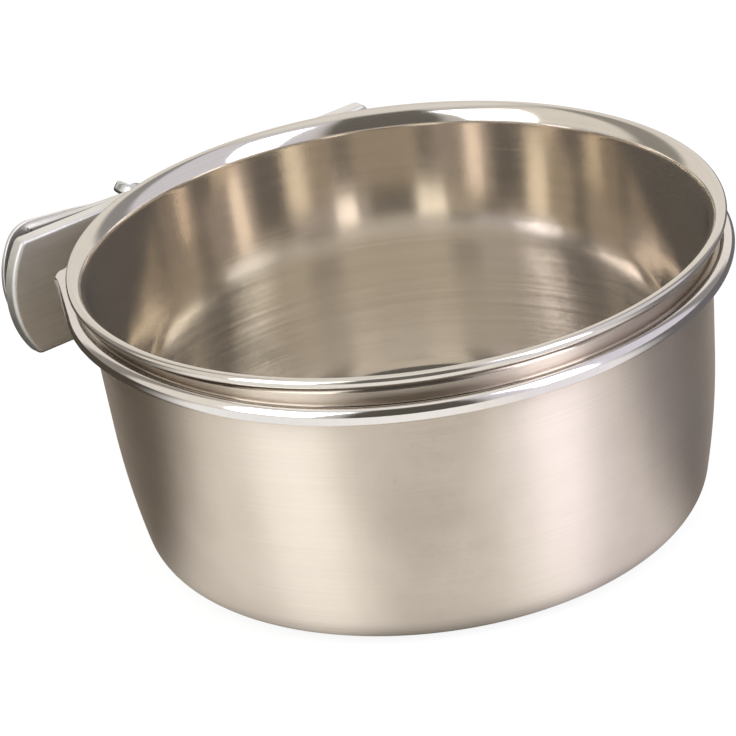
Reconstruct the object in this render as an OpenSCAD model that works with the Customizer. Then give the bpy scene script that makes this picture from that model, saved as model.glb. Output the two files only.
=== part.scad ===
// Seed cup in a clamp-on ring holder: a pressed steel cup that drops into a wire ring,
// with a two-plate clamp that a wing nut closes on the wires of a cage.
// Origin: centre of the cup's flat underside. +Z is up and +Y runs from the cup to the clamp.

/* [Cup] */
// Height of the cup, from the underside to the top of the rim
cup_h = 59.7; // [50:0.1:80]
// Outside radius of the wall where the ring holds it
cup_r = 59.5; // [52:0.1:70]
// How far the straight wall draws in for each millimetre down
wall_draft = 0.062; // [0.03:0.001:0.1]
// Thickness of the sheet
sheet = 0.7; // [0.5:0.1:1.2]
// Radius of the gentle bow low on the wall
bow_r = 156; // [100:1:220]
// Steepest lean of the bow, where the corner starts, in degrees
bow_lean = 12.2; // [9:0.1:16]
// Radius of the corner between wall and floor
corner_r = 7.9; // [5:0.1:12]

/* [Rim] */
// Radius of the rolled bead's section
bead_r = 1; // [0.8:0.05:1.3]
// Overhang of the bead's centre beyond the wall
bead_out = 2.25; // [1.8:0.05:3]
// Radius of the flare inside the lip
flare_r = 5; // [4:0.1:7]

/* [Ring] */
// Radius of the ring's wire
wire_r = 2; // [1.5:0.05:2.5]
// Radial play between the wall and the ring
ring_play = 0.2; // [0.1:0.05:1]
// Depth of the ring's centre below the top of the rim
ring_drop = 7.55; // [6:0.05:12]
// Direction of the butt weld where the wire's ends meet, in degrees from +X
joint_angle = 134; // [110:1:250]
// Half of the angle that the wire's straight ends span, in degrees
joint_half = 20.5; // [10.5:5:20.5]
// Depth of the flat that the weld presses into the wire
weld_flat = 0.2; // [0.1:0.05:0.4]

/* [Inner plate] */
// Length of the plate between its bulged ends
plate_l = 94.2; // [80:0.1:120]
// Height of the plate
plate_h = 24.5; // [20:0.1:30]
// Bulge of each end beyond the corners
plate_bulge = 3.4; // [2:0.1:5]
// Radius of the plate's corners
plate_corner = 1.9; // [1.5:0.1:5]
// Depth of the plate's turned edge
plate_depth = 3; // [2:0.1:4]
// Thickness of both plates
plate_t = 1; // [0.7:0.05:1.3]
// Radius of the bend along the edges of both plates
plate_bend = 1.15; // [1.1:0.05:1.8]
// Height of the plate's top edge above the ring's centre
plate_rise = 3.1; // [2:0.05:5]
// Turn of the welded plate and its bolt out of level, in degrees
plate_lean = 0.8; // [0:0.1:2]

/* [Outer plate] */
// Length of the outer plate between its bulged ends
jaw_l = 89.4; // [78:0.1:116]
// Height of the end lobes
jaw_lobe_h = 22.5; // [20:0.1:30]
// Height of the waist between the lobes
jaw_waist_h = 20.2; // [18:0.1:26]
// Radius of the lobes' corners
jaw_corner = 5.5; // [4:0.1:8]
// Bulge of each end of the lobes beyond the corners
jaw_bulge = 1.6; // [1:0.1:4]
// Length of the two turned edges
jaw_edge_l = 76; // [60:0.1:90]
// Depth of the turned edges at their ends
jaw_depth = 4.6; // [4:0.1:7]
// How much the turned edges are arched away from the cage in the middle
jaw_arch = 2; // [1:0.1:2.5]
// Gap between the jaws' edges when the clamp is shut
jaw_gap = 0.3; // [0.1:0.05:1]
// Turn of the loose outer plate on its bolt, in degrees
jaw_roll = 3; // [0:0.1:3]

/* [Bolt and nut] */
// Nominal diameter of the bolt's thread
bolt_d = 6; // [5:0.5:7]
// Diameter of the domed head
head_d = 13; // [11:0.1:14]
// Height of the domed head
head_h = 2.6; // [2:0.1:3]
// Length of the bolt under its head
bolt_l = 26; // [24:0.5:34]
// Radial play of the nut on the bolt
nut_play = 0.05; // [0.02:0.01:0.1]
// Radial play of the plates and the washer round the bolt
hole_play = 0.3; // [0.2:0.05:0.5]
// Outside diameter of the washer
washer_d = 12; // [11:0.1:14]
// Thickness of the washer
washer_t = 1.2; // [0.8:0.1:1.6]
// Diameter of the nut's hub at its foot
hub_d = 11.4; // [10:0.1:13]
// Diameter of the nut's hub at its top
hub_top_d = 9; // [8.2:0.1:9.8]
// Height of the nut's hub
hub_h = 7; // [6:0.1:8]
// Radius of the rounded wing tips
wing_r = 4.6; // [4:0.1:5.5]
// Distance from the bolt's axis to the tips of the wings
wing_reach = 11.5; // [11:0.1:18]
// Height of the wings above the nut's foot
wing_h = 12; // [12:0.1:16]
// Thickness of the wings
wing_t = 2.4; // [1.8:0.1:3]
// Turn of the wings above the horizontal, in degrees
wing_turn = 42; // [0:1:90]

/* [Hidden] */

steel = [0.76, 0.72, 0.66];
steel_bright = [0.84, 0.82, 0.8];
zinc = [0.72, 0.73, 0.75];

over = 1;
fine = 144;
round_fn = 48;
small_fn = 24;
slices = 4;

ring_z = cup_h - ring_drop;
ring_r = cup_r + ring_play + wire_r;

// Wall: a straight draft, then a shallow bow, then the corner and the flat floor
draft_lean = atan(wall_draft);
corner_z = corner_r;
bow_end_z = corner_r * (1 - sin(bow_lean));
bow_start_z = bow_end_z + bow_r * (sin(bow_lean) - sin(draft_lean));
bow_start_r = cup_r - wall_draft * (ring_z - bow_start_z);
bow_c = [bow_start_r - bow_r * cos(draft_lean), bow_start_z + bow_r * sin(draft_lean)];
bow_end_r = bow_c[0] + bow_r * cos(bow_lean);
corner_c = [bow_end_r - corner_r * cos(bow_lean), corner_z];

// Rim: the flare's circle touches the wall's inner face and the rolled bead
bead_c = [cup_r + bead_out, cup_h - bead_r];
wall_up = [sin(draft_lean), cos(draft_lean)];
wall_out = [cos(draft_lean), -sin(draft_lean)];
flare_from_bead = [cup_r, ring_z] + (flare_r - sheet) * wall_out - bead_c;
flare_up = flare_from_bead * wall_up;
flare_gap = flare_r - bead_r;
flare_root = flare_up * flare_up - flare_from_bead * flare_from_bead + flare_gap * flare_gap;
flare_rise = -flare_up - sqrt(flare_root);
flare_c = bead_c + flare_from_bead + flare_rise * wall_up;
flare_end = atan2(bead_c[1] - flare_c[1], bead_c[0] - flare_c[0]);

// Clamp: everything on the bolt's axis is measured from the inner plate's face
face_y = ring_r + wire_r - weld_flat;
axis_z = ring_z + plate_rise - plate_h / 2;
shut_y = face_y + plate_depth + jaw_gap;
jaw_back_y = shut_y + jaw_depth;
nut_y = jaw_back_y + washer_t;

thread_r = bolt_d / 2 - nut_play;
bore_r = bolt_d / 2;
hole_r = bolt_d / 2 + hole_play;
neck_w = bolt_d;
tip_bevel = bolt_d / 8;

// Points of an arc about c, from angle a to angle b
function arc(c, r, a, b, n) = [
    for (i = [0:n])
    let (turn = a + (b - a) * i / n)
    c + r * [cos(turn), sin(turn)]];

// Outline of the cup's wall and floor, drawn in by t, from the axis up to the flare
function wall_line(t) = concat(
    [[0, t]],
    arc(corner_c, corner_r - t, -90, -bow_lean, 10),
    arc(bow_c, bow_r - t, -bow_lean, -draft_lean, 8));

// The flare, t inside the sheet from the lip's own surface
function flare_line(t) = arc(flare_c, flare_r - t, 180 - draft_lean, flare_end, 8);

function reversed(list) = [for (i = [len(list) - 1:-1:0]) list[i]];

module cup() {
    color(steel)
    rotate_extrude($fn = fine)
    union() {
        polygon(concat(
            wall_line(0),
            flare_line(sheet),
            reversed(flare_line(0)),
            reversed(wall_line(sheet))));
        translate(bead_c)
        circle(r = bead_r, $fn = round_fn);
    }
}

// One straight end of the ring's wire, cut square on the line of the weld
module wire_end(side) {
    rotate([0, 0, side * joint_half])
    translate([ring_r, 0, 0])
    rotate([side * 90, 0, 0])
    cylinder(r = wire_r, h = ring_r * tan(joint_half) + wire_r, $fn = round_fn);
}

module holder_ring() {
    reach = ring_r + bolt_l;
    color(steel_bright)
    translate([0, 0, ring_z])
    difference() {
        union() {
            rotate([0, 0, joint_angle + joint_half])
            rotate_extrude(angle = 360 - 2 * joint_half, $fn = fine)
            translate([ring_r, 0])
            circle(r = wire_r, $fn = round_fn);
            rotate([0, 0, joint_angle])
            for (side = [-1, 1])
            intersection() {
                wire_end(side);
                translate([0, min(0, side * reach), -reach / 2])
                cube([reach, reach, reach]);
            }
        }
        translate([-reach / 2, face_y, -reach / 2])
        cube([reach, reach, reach]);
    }
}

// Outline with bulged ends and rounded corners, centred on the bolt and drawn in by inset
module bulged_outline(l, h, bulge, corner, inset) {
    chord = h / 2 - corner;
    end_r = (chord * chord + bulge * bulge) / (2 * bulge) + corner;
    end_x = l / 2 - end_r;
    corner_x = end_x + sqrt(pow(end_r - corner, 2) - chord * chord);
    square([2 * corner_x, h - 2 * inset], center = true);
    for (side = [-1, 1]) {
        for (up = [-1, 1])
        translate([side * corner_x, up * chord])
        circle(r = corner - inset, $fn = round_fn);
        intersection() {
            translate([side * end_x, 0])
            circle(r = end_r - inset, $fn = fine);
            polygon([
                [side * end_x, 0],
                [side * (2 * corner_x - end_x), 2 * chord],
                [side * (2 * corner_x - end_x), -2 * chord]]);
        }
        polygon([[side * end_x, 0], [side * corner_x, chord], [side * corner_x, -chord]]);
    }
}

// Stands a flat outline up in the clamp's frame, with its thickness growing along +Y from y
module stand(y) {
    translate([0, y, 0])
    rotate([90, 0, 0])
    mirror([0, 0, 1])
    children();
}

// Plate outline with a rounded front edge
module plate_block(inset, depth, bend) {
    hull() {
        for (i = [0:slices]) {
            a = 90 * i / slices;
            translate([0, 0, bend * (1 - sin(a))])
            linear_extrude(depth - bend * (1 - sin(a)))
            bulged_outline(
                plate_l, plate_h, plate_bulge, plate_corner,
                inset + bend * (1 - cos(a)));
        }
    }
}

module inner_plate() {
    color(steel)
    translate([0, 0, axis_z])
    rotate([0, plate_lean, 0])
    difference() {
        stand(face_y)
        plate_block(0, plate_depth, plate_bend);
        stand(face_y + plate_t)
        plate_block(plate_t, plate_depth, plate_bend - plate_t);
        translate([-neck_w / 2, face_y - over, -neck_w / 2])
        cube([neck_w, plate_depth + 2 * over, neck_w]);
    }
}

module clamp_bolt() {
    dome_r = (pow(head_d / 2, 2) + head_h * head_h) / (2 * head_h);
    color(zinc)
    translate([0, face_y, axis_z])
    rotate([-90, plate_lean, 0])
    union() {
        intersection() {
            translate([0, 0, dome_r - head_h])
            sphere(r = dome_r, $fn = fine);
            translate([0, 0, -head_h - over])
            cylinder(d = head_d, h = head_h + over, $fn = round_fn);
        }
        translate([-neck_w / 2, -neck_w / 2, 0])
        cube([neck_w, neck_w, plate_t]);
        cylinder(r = thread_r, h = bolt_l - tip_bevel, $fn = round_fn);
        translate([0, 0, bolt_l - tip_bevel])
        cylinder(r1 = thread_r, r2 = thread_r - tip_bevel, h = tip_bevel, $fn = round_fn);
    }
}

// Back sheet of the outer plate: its long edges draw in from the lobes to a narrower waist
module jaw_outline() {
    lobe_x = jaw_l / 2 - jaw_corner - jaw_bulge;
    waist_x = lobe_x - 3 * jaw_corner;
    difference() {
        bulged_outline(jaw_l, jaw_lobe_h, jaw_bulge, jaw_corner, 0);
        for (up = [-1, 1])
        polygon([
            [-lobe_x, up * jaw_lobe_h / 2],
            [-waist_x, up * jaw_waist_h / 2],
            [waist_x, up * jaw_waist_h / 2],
            [lobe_x, up * jaw_lobe_h / 2],
            [lobe_x, up * jaw_lobe_h],
            [-lobe_x, up * jaw_lobe_h]]);
    }
}

// Section of the channel with its two turned edges, drawn in by t, back towards +X
module channel_section(t) {
    bend = plate_bend - t;
    half_h = jaw_waist_h / 2 - t;
    back = jaw_depth - t;
    translate([-t, -half_h])
    square([back - bend + t, 2 * half_h]);
    translate([-t, bend - half_h])
    square([back + t, 2 * (half_h - bend)]);
    for (up = [-1, 1])
    translate([back - bend, up * (half_h - bend)])
    circle(r = bend, $fn = small_fn);
}

module outer_plate() {
    half_l = jaw_edge_l / 2;
    arch_r = (half_l * half_l + jaw_arch * jaw_arch) / (2 * jaw_arch);
    color(steel)
    translate([0, shut_y, axis_z])
    rotate([0, jaw_roll, 0])
    difference() {
        union() {
            difference() {
                translate([-half_l, 0, 0])
                rotate([90, 0, 90])
                linear_extrude(jaw_edge_l)
                difference() {
                    channel_section(0);
                    channel_section(plate_t);
                }
                translate([0, jaw_arch - arch_r, -jaw_waist_h])
                cylinder(r = arch_r, h = 2 * jaw_waist_h, $fn = 4 * fine);
            }
            translate([0, jaw_depth, 0])
            rotate([90, 0, 0])
            linear_extrude(plate_t)
            jaw_outline();
        }
        translate([0, jaw_depth + over, 0])
        rotate([90, 0, 0])
        cylinder(r = hole_r, h = plate_t + 2 * over, $fn = round_fn);
    }
}

module washer() {
    color(zinc)
    translate([0, jaw_back_y, axis_z])
    rotate([-90, 0, 0])
    difference() {
        cylinder(d = washer_d, h = washer_t, $fn = round_fn);
        translate([0, 0, -over])
        cylinder(r = hole_r, h = washer_t + 2 * over, $fn = round_fn);
    }
}

// Disc with bevelled rims, lying in the plane of the wings
module wing_disc(r) {
    bevel = wing_t / 4;
    rotate([90, 0, 0]) {
        cylinder(r = r, h = wing_t - 2 * bevel, center = true, $fn = small_fn);
        cylinder(r = r - bevel, h = wing_t, center = true, $fn = small_fn);
    }
}

module wing() {
    root_r = wing_t;
    hull() {
        translate([wing_reach - wing_r, 0, wing_h - wing_r])
        wing_disc(wing_r);
        translate([hub_top_d / 2, 0, hub_h - root_r])
        wing_disc(root_r);
        translate([hub_d / 2 - root_r, 0, root_r])
        wing_disc(root_r);
    }
}

module wing_nut() {
    color(zinc)
    translate([0, nut_y, axis_z])
    rotate([-90, 0, 0])
    difference() {
        union() {
            cylinder(d1 = hub_d, d2 = hub_top_d, h = hub_h, $fn = round_fn);
            for (side = [0, 180])
            rotate([0, 0, wing_turn + side])
            wing();
        }
        translate([0, 0, -over])
        cylinder(r = bore_r, h = wing_h + 2 * over, $fn = round_fn);
    }
}

cup();
holder_ring();
inner_plate();
clamp_bolt();
outer_plate();
washer();
wing_nut();
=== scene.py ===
# Seed cup in a clamp-on wire ring: its looks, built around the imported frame
import math

import bmesh
import bpy
from mathutils import Matrix, Vector


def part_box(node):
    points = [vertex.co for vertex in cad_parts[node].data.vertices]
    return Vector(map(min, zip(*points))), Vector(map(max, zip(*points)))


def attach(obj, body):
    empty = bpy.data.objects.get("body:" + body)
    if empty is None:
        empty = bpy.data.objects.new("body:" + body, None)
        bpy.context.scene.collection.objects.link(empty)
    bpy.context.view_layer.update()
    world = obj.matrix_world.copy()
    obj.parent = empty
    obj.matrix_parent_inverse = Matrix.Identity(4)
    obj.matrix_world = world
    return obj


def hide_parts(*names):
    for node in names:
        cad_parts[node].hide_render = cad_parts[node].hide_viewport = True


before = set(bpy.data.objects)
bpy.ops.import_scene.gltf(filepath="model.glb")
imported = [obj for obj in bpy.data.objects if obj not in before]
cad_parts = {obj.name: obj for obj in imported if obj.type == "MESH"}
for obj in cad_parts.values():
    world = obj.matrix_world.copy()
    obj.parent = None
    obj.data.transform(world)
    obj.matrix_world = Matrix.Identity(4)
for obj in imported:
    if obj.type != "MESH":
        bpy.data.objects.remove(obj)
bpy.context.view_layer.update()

mm = 0.001

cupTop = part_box("cup")[1].z
ringLow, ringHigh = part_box("holder_ring")
plateLow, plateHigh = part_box("inner_plate")
jawLow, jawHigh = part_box("outer_plate")
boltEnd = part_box("clamp_bolt")[1].y
washerLow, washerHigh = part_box("washer")
nutLow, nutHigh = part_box("wing_nut")

ringHeight = (ringLow.z + ringHigh.z) / 2
wireRadius = (ringHigh.z - ringLow.z) / 2
ringRadius = -ringLow.y - wireRadius
clampHeight = (plateLow.z + plateHigh.z) / 2
faceY = plateLow.y      # the inner plate's flat face, on the cup's side
sameSpot = 0.0001 * mm  # points nearer than this are one
print("frame loaded")


# Helpers for objects and places

def addObject(name, data):
    piece = bpy.data.objects.new(name, data)
    bpy.context.scene.collection.objects.link(piece)
    return piece


def outwards(turn, lift):
    # The way out from the cup's axis, turned round it and lifted above the floor
    return Vector((math.sin(turn) * math.cos(lift), -math.cos(turn) * math.cos(lift), math.sin(lift)))


def placeFacing(thing, spot, right, up, back):
    thing.matrix_world = Matrix.Translation(spot) @ Matrix((right, up, back)).transposed().to_4x4()


# The camera, where the photo was taken from
photoCamera = {
    "azimuth": math.radians(-35.5),    # round the cup, from the side away from the clamp
    "elevation": math.radians(25.81),
    "roll": math.radians(-7.63),       # the photo is tilted
    "distance": 0.7737,
    "aimAside": -0.00833,              # from the cup's axis to the picture's centre, to the right
    "aimBelowRim": 0.0279,
    "lens": 197.4,
    "sensor": 36.0,
    "clip": (0.01, 20),
}


def placeCamera(sizes):
    turn, roll = sizes["azimuth"], sizes["roll"]
    back = outwards(turn, sizes["elevation"])
    level = Vector((math.cos(turn), math.sin(turn), 0))
    upright = back.cross(level)
    right = math.cos(roll) * level + math.sin(roll) * upright
    up = math.cos(roll) * upright - math.sin(roll) * level
    aim = level * sizes["aimAside"] + Vector((0, 0, cupTop - sizes["aimBelowRim"]))
    data = bpy.data.cameras.new("photoCamera")
    data.lens = sizes["lens"]
    data.sensor_width = sizes["sensor"]
    data.clip_start, data.clip_end = sizes["clip"]
    camera = addObject("photoCamera", data)
    placeFacing(camera, aim + back * sizes["distance"], right, up, back)
    bpy.context.scene.camera = camera


placeCamera(photoCamera)
print("camera placed")


# Helpers for node trees

def addNode(tree, kind, **settings):
    node = tree.nodes.new(kind)
    for name, value in settings.items():
        setattr(node, name, value)
    return node


def join(tree, value, socket):
    if isinstance(value, bpy.types.NodeSocket):
        tree.links.new(value, socket)
    elif value is not None:
        socket.default_value = value


def wired(tree, kind, inputs, **settings):
    # Adds a node, sets or links its inputs by name or number, and gives its first output
    node = addNode(tree, kind, **settings)
    for name, value in inputs.items():
        join(tree, value, node.inputs[name])
    return node.outputs[0]


def mathNode(tree, operation, a, b=None):
    return wired(tree, "ShaderNodeMath", {0: a, 1: b}, operation=operation)


def plus(tree, a, b):
    return mathNode(tree, "ADD", a, b)


def times(tree, a, b):
    return mathNode(tree, "MULTIPLY", a, b)


def mixTones(tree, share, a, b, blend="MIX"):
    node = addNode(tree, "ShaderNodeMix", data_type="RGBA", blend_type=blend)
    for index, value in ((0, share), (6, a), (7, b)):    # 6 and 7 are the two colours
        join(tree, (*value, 1) if isinstance(value, tuple) else value, node.inputs[index])
    return node.outputs[2]


def mapped(tree, value, fromLow, fromHigh, toLow, toHigh, smooth=False):
    items = dict(enumerate((value, fromLow, fromHigh, toLow, toHigh)))
    blend = "SMOOTHSTEP" if smooth else "LINEAR"
    return wired(tree, "ShaderNodeMapRange", items, interpolation_type=blend)


def noise(tree, vector, detail, roughness=0.5):
    return wired(tree, "ShaderNodeTexNoise", {
        "Vector": vector, "Scale": 1, "Detail": detail, "Roughness": roughness})


def bump(tree, height, distance, normal=None, strength=1.0):
    return wired(tree, "ShaderNodeBump", {
        "Strength": strength, "Distance": distance, "Height": height, "Normal": normal})


def coordinate(tree, kind):
    return addNode(tree, "ShaderNodeTexCoord").outputs[kind]


def splitCoordinate(tree, kind):
    parts = addNode(tree, "ShaderNodeSeparateXYZ")
    join(tree, coordinate(tree, kind), parts.inputs[0])
    return parts.outputs


def emptyTree(owner):
    owner.use_nodes = True
    owner.node_tree.nodes.clear()
    return owner.node_tree


def endTree(tree, kind, surface):
    join(tree, surface, addNode(tree, kind).inputs["Surface"])


# Steel. The grain runs round a turned piece, down its wall, along a plate, or nowhere on a plain one.

def grainVector(tree, grain, along, across):
    x, y, z = splitCoordinate(tree, "Object")
    if grain == "round":
        radius = mathNode(tree, "SQRT", plus(tree, times(tree, x, x), times(tree, y, y)))
        z = plus(tree, radius, z)
    scales = {
        "round": (along, along, across),
        "drawn": (across, across, along),
        "long": (along, across, across),
        "plain": (across, across, across),
    }
    parts = [times(tree, value, scale) for value, scale in zip((x, y, z), scales[grain])]
    return wired(tree, "ShaderNodeCombineXYZ", dict(enumerate(parts)))


# The part of each noise that counts
evenSpan = (0.3, 0.7)
stainSpan = (0.42, 0.72)
speckSpan = (0.6, 0.75)


def steelTone(tree, finish, smudges, grain):
    # The clean tone, a thin stain on the smudges, and darker lines along the grain
    stain = mapped(tree, smudges, *stainSpan, 0, finish["stainShare"], True)
    tone = mixTones(tree, stain, finish["tone"], finish["stain"])
    lines = mapped(tree, grain, *evenSpan, 1 - finish["grainTone"], 1)
    return mixTones(tree, 1, tone, lines, "MULTIPLY")


def paintedShadeUnderLip(tree, finish, tone):
    # Painted shade in the hollow under the lip, on what faces down: a dark band between two heights
    height = splitCoordinate(tree, "Object")[2]
    facing = splitCoordinate(tree, "Normal")[2]
    share = times(tree, mapped(tree, height, *finish["paintedShadeFrom"], 0, 1, True),
                  mapped(tree, height, *finish["paintedShadeTo"], 1, 0, True))
    share = times(tree, share, mapped(tree, facing, *finish["paintedShadeFacing"], finish["lipPaintedShade"], 0))
    return mixTones(tree, share, tone, finish["paintedShadeTone"])


def paintedShadeInGap(tree, finish, tone, smudges):
    # Painted shade on the turned edges, where the closed clamp hides them: a dark line along the gap next
    # to the inner plate, made uneven by the smudges
    reach = plus(tree, splitCoordinate(tree, "Object")[1], times(tree, smudges, finish["paintedShadeUneven"]))
    share = mapped(tree, reach, *finish["paintedShadeTo"], finish["gapPaintedShade"], 0)
    return mixTones(tree, share, tone, finish["paintedShadeTone"])


def steelRoughness(tree, finish, smudges, grain, specks):
    # Even, and duller under the smudges, along the grain and in the specks
    dull = mapped(tree, smudges, *evenSpan, *finish["roughness"], True)
    dull = plus(tree, dull, mapped(tree, grain, *evenSpan, 0, finish["grainRoughness"]))
    return plus(tree, dull, mapped(tree, specks, *speckSpan, 0, finish["speckRoughness"]))


def steelMaterial(name, finish):
    material = bpy.data.materials.new(name)
    tree = emptyTree(material)
    grain = noise(tree, grainVector(tree, finish["grain"], finish["along"], finish["across"]), 2)
    drawn = noise(tree, grainVector(tree, finish["marks"], finish["marksAlong"], finish["marksAcross"]), 3)
    smudges = noise(tree, grainVector(tree, "plain", 1, finish["smudgeScale"]), 4, 0.6)
    specks = noise(tree, grainVector(tree, "plain", 1, finish["speckScale"]), 2)
    tone = steelTone(tree, finish, smudges, grain)
    # Painted shade where the finish asks for it: under the cup's lip, and on the jaw's turned edges in the
    # gap
    if finish["lipPaintedShade"]:
        tone = paintedShadeUnderLip(tree, finish, tone)
    if finish["gapPaintedShade"]:
        tone = paintedShadeInGap(tree, finish, tone, smudges)
    normal = bump(tree, drawn, finish["marksDepth"])
    normal = bump(tree, grain, finish["grainDepth"], normal)
    normal = bump(tree, specks, finish["speckDepth"], normal, finish["speckStrength"])
    surface = {
        "Base Color": tone, "Metallic": finish["metallic"], "Normal": normal,
        "Roughness": steelRoughness(tree, finish, smudges, grain, specks)}
    if finish["anisotropic"]:
        surface["Anisotropic"] = finish["anisotropic"]
        surface["Anisotropic Rotation"] = finish["grainTurn"]
        surface["Tangent"] = wired(tree, "ShaderNodeTangent", {}, direction_type="UV_MAP", uv_map="UVMap")
    shader = wired(tree, "ShaderNodeBsdfPrincipled", surface)
    endTree(tree, "ShaderNodeOutputMaterial", shader)
    return material


brushedCup = {
    "tone": (0.84, 0.735, 0.62), "stain": (0.72, 0.62, 0.51), "stainShare": 0.35,
    "roughness": (0.37, 0.41), "grain": "round", "along": 22.0, "across": 3600.0,
    "grainTone": 0.06, "grainRoughness": 0.06, "grainDepth": 0.004 * mm,
    "marks": "drawn", "marksAlong": 12.0, "marksAcross": 160.0, "marksDepth": 0.04 * mm,
    "smudgeScale": 45.0, "speckScale": 1400.0, "speckDepth": 0.002 * mm, "speckStrength": 0.5,
    "speckRoughness": 0.05, "anisotropic": 0.95, "grainTurn": 0.25, "metallic": 1.0,
    "lipPaintedShade": 0.0, "gapPaintedShade": 0.0,
}
# The cup's inside, polished, with painted shade in the hollow under its lip
polishedCup = dict(
    brushedCup, tone=(0.77, 0.715, 0.635), stain=(0.65, 0.59, 0.52), roughness=(0.06, 0.10),
    across=1500.0, grainTone=0.05, grainRoughness=0.03, grainDepth=0.0008 * mm, marksAlong=8.0,
    marksAcross=60.0, marksDepth=0.03 * mm, speckDepth=0.0004 * mm, stainShare=0.25,
    anisotropic=0.5, metallic=0.92, lipPaintedShade=0.92, paintedShadeFrom=(52.5 * mm, 54.5 * mm),
    paintedShadeTo=(57.3 * mm, 57.9 * mm), paintedShadeFacing=(-0.25, -0.02), paintedShadeTone=(0.15, 0.12, 0.095))
wireSteel = dict(
    brushedCup, tone=(0.84, 0.79, 0.74), stain=(0.66, 0.60, 0.54), roughness=(0.07, 0.12),
    grain="plain", across=900.0, grainTone=0.03, grainRoughness=0.02, grainDepth=0.001 * mm,
    marks="plain", marksAcross=120.0, marksDepth=0.02 * mm, anisotropic=0.0)
plateSteel = dict(
    brushedCup, tone=(0.93, 0.905, 0.86), stain=(0.74, 0.71, 0.65), roughness=(0.40, 0.50),
    grain="long", along=60.0, across=1600.0, marks="long", marksAlong=20.0, marksAcross=90.0,
    marksDepth=0.05 * mm, stainShare=0.5, anisotropic=0.0)
# The jaw's steel, with painted shade on its turned edges: a dark line in the gap next to the inner plate
jawSteel = dict(
    plateSteel, gapPaintedShade=0.9, paintedShadeTo=(69.2 * mm, 69.8 * mm), paintedShadeUneven=0.8 * mm,
    paintedShadeTone=(0.09, 0.08, 0.07))
platedSteel = dict(
    plateSteel, tone=(0.78, 0.77, 0.76), stain=(0.60, 0.59, 0.56), roughness=(0.16, 0.28),
    grain="plain", across=1200.0, marks="plain", marksAcross=260.0, stainShare=0.3)
castNut = dict(
    platedSteel, roughness=(0.2, 0.34), across=800.0, grainDepth=0.01 * mm, marksAcross=420.0,
    marksDepth=0.08 * mm)
weldMetal = dict(
    platedSteel, tone=(0.55, 0.52, 0.48), stain=(0.30, 0.26, 0.22), roughness=(0.3, 0.5),
    marksAcross=900.0, marksDepth=0.1 * mm, stainShare=0.7)

cupOutside = steelMaterial("cupBrushed", brushedCup)
cupInside = steelMaterial("cupPolished", polishedCup)
wireFinish = steelMaterial("wirePolished", wireSteel)
plateFinish = steelMaterial("plateSatin", plateSteel)
jawFinish = steelMaterial("jawSatin", jawSteel)
platedFinish = steelMaterial("fastenerPlated", platedSteel)
nutFinish = steelMaterial("nutCast", castNut)
weldFinish = steelMaterial("weldRaw", weldMetal)
print("materials made")


# Helpers for Geometry Nodes

def newTree(name, inputs):
    tree = bpy.data.node_groups.new(name, "GeometryNodeTree")
    tree.is_modifier = True
    for label, kind in {"Geometry": "Geometry", **inputs}.items():
        tree.interface.new_socket(label, in_out="INPUT", socket_type="NodeSocket" + kind)
    tree.interface.new_socket("Geometry", in_out="OUTPUT", socket_type="NodeSocketGeometry")
    start = addNode(tree, "NodeGroupInput")
    end = addNode(tree, "NodeGroupOutput")
    return tree, start.outputs, end.inputs[0]


def finishTree(tree, geometry, materials, end):
    geometry = wired(tree, "GeometryNodeRealizeInstances", {"Geometry": geometry})
    geometry = wired(tree, "GeometryNodeSetShadeSmooth", {"Geometry": geometry})
    for material, selection in materials:
        geometry = wired(tree, "GeometryNodeSetMaterial", {
            "Geometry": geometry, "Selection": selection, "Material": material})
    join(tree, geometry, end)


def storeAttribute(tree, geometry, name, value, kind, domain):
    return wired(tree, "GeometryNodeStoreNamedAttribute", {
        "Name": name, "Geometry": geometry, "Value": value}, data_type=kind, domain=domain)


def readAttribute(tree, name):
    return wired(tree, "GeometryNodeInputNamedAttribute", {"Name": name}, data_type="FLOAT")


def sampleAt(tree, source, value, index, kind):
    return wired(tree, "GeometryNodeSampleIndex", {
        "Geometry": source, "Value": value, "Index": index}, data_type=kind, domain="POINT")


def wrapGrid(tree, segments, rows):
    # A grid to wrap round an axis: a column for each step round, and a row for each height
    grid = addNode(tree, "GeometryNodeMeshGrid")
    join(tree, plus(tree, segments, 1), grid.inputs["Vertices X"])
    join(tree, rows, grid.inputs["Vertices Y"])
    index = addNode(tree, "GeometryNodeInputIndex").outputs[0]
    row = mathNode(tree, "MODULO", index, rows)
    column = mathNode(tree, "FLOOR", mathNode(tree, "DIVIDE", plus(tree, index, 0.5), rows))
    return grid, row, column


def placeAndMerge(tree, geometry, position, distance):
    placed = wired(tree, "GeometryNodeSetPosition", {"Geometry": geometry, "Position": position})
    return wired(tree, "GeometryNodeMergeByDistance", {"Geometry": placed, "Distance": distance})


def linePiece(name, points, closed=False, finish=None):
    mesh = bpy.data.meshes.new(name)
    edges = [(i, i + 1) for i in range(len(points) - 1)]
    if closed:
        edges.append((len(points) - 1, 0))
    mesh.from_pydata([tuple(p) for p in points], edges, [])
    if finish:
        attribute = mesh.attributes.new("finish", "FLOAT", "POINT")
        attribute.data.foreach_set("value", [float(v) for v in finish])
    return addObject(name, mesh)


def swapMesh(piece, mesh):
    old, piece.data = piece.data, mesh
    bpy.data.meshes.remove(old)
    mesh.name = piece.name


def runTree(piece, tree, values):
    modifier = piece.modifiers.new("shape", "NODES")
    modifier.node_group = tree
    for item in tree.interface.items_tree:
        if item.in_out == "INPUT" and item.name in values:
            modifier[item.identifier] = values[item.name]
    depsgraph = bpy.context.evaluated_depsgraph_get()
    mesh = bpy.data.meshes.new_from_object(
        piece.evaluated_get(depsgraph), preserve_all_data_layers=True, depsgraph=depsgraph)
    piece.modifiers.remove(modifier)
    swapMesh(piece, mesh)


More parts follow.
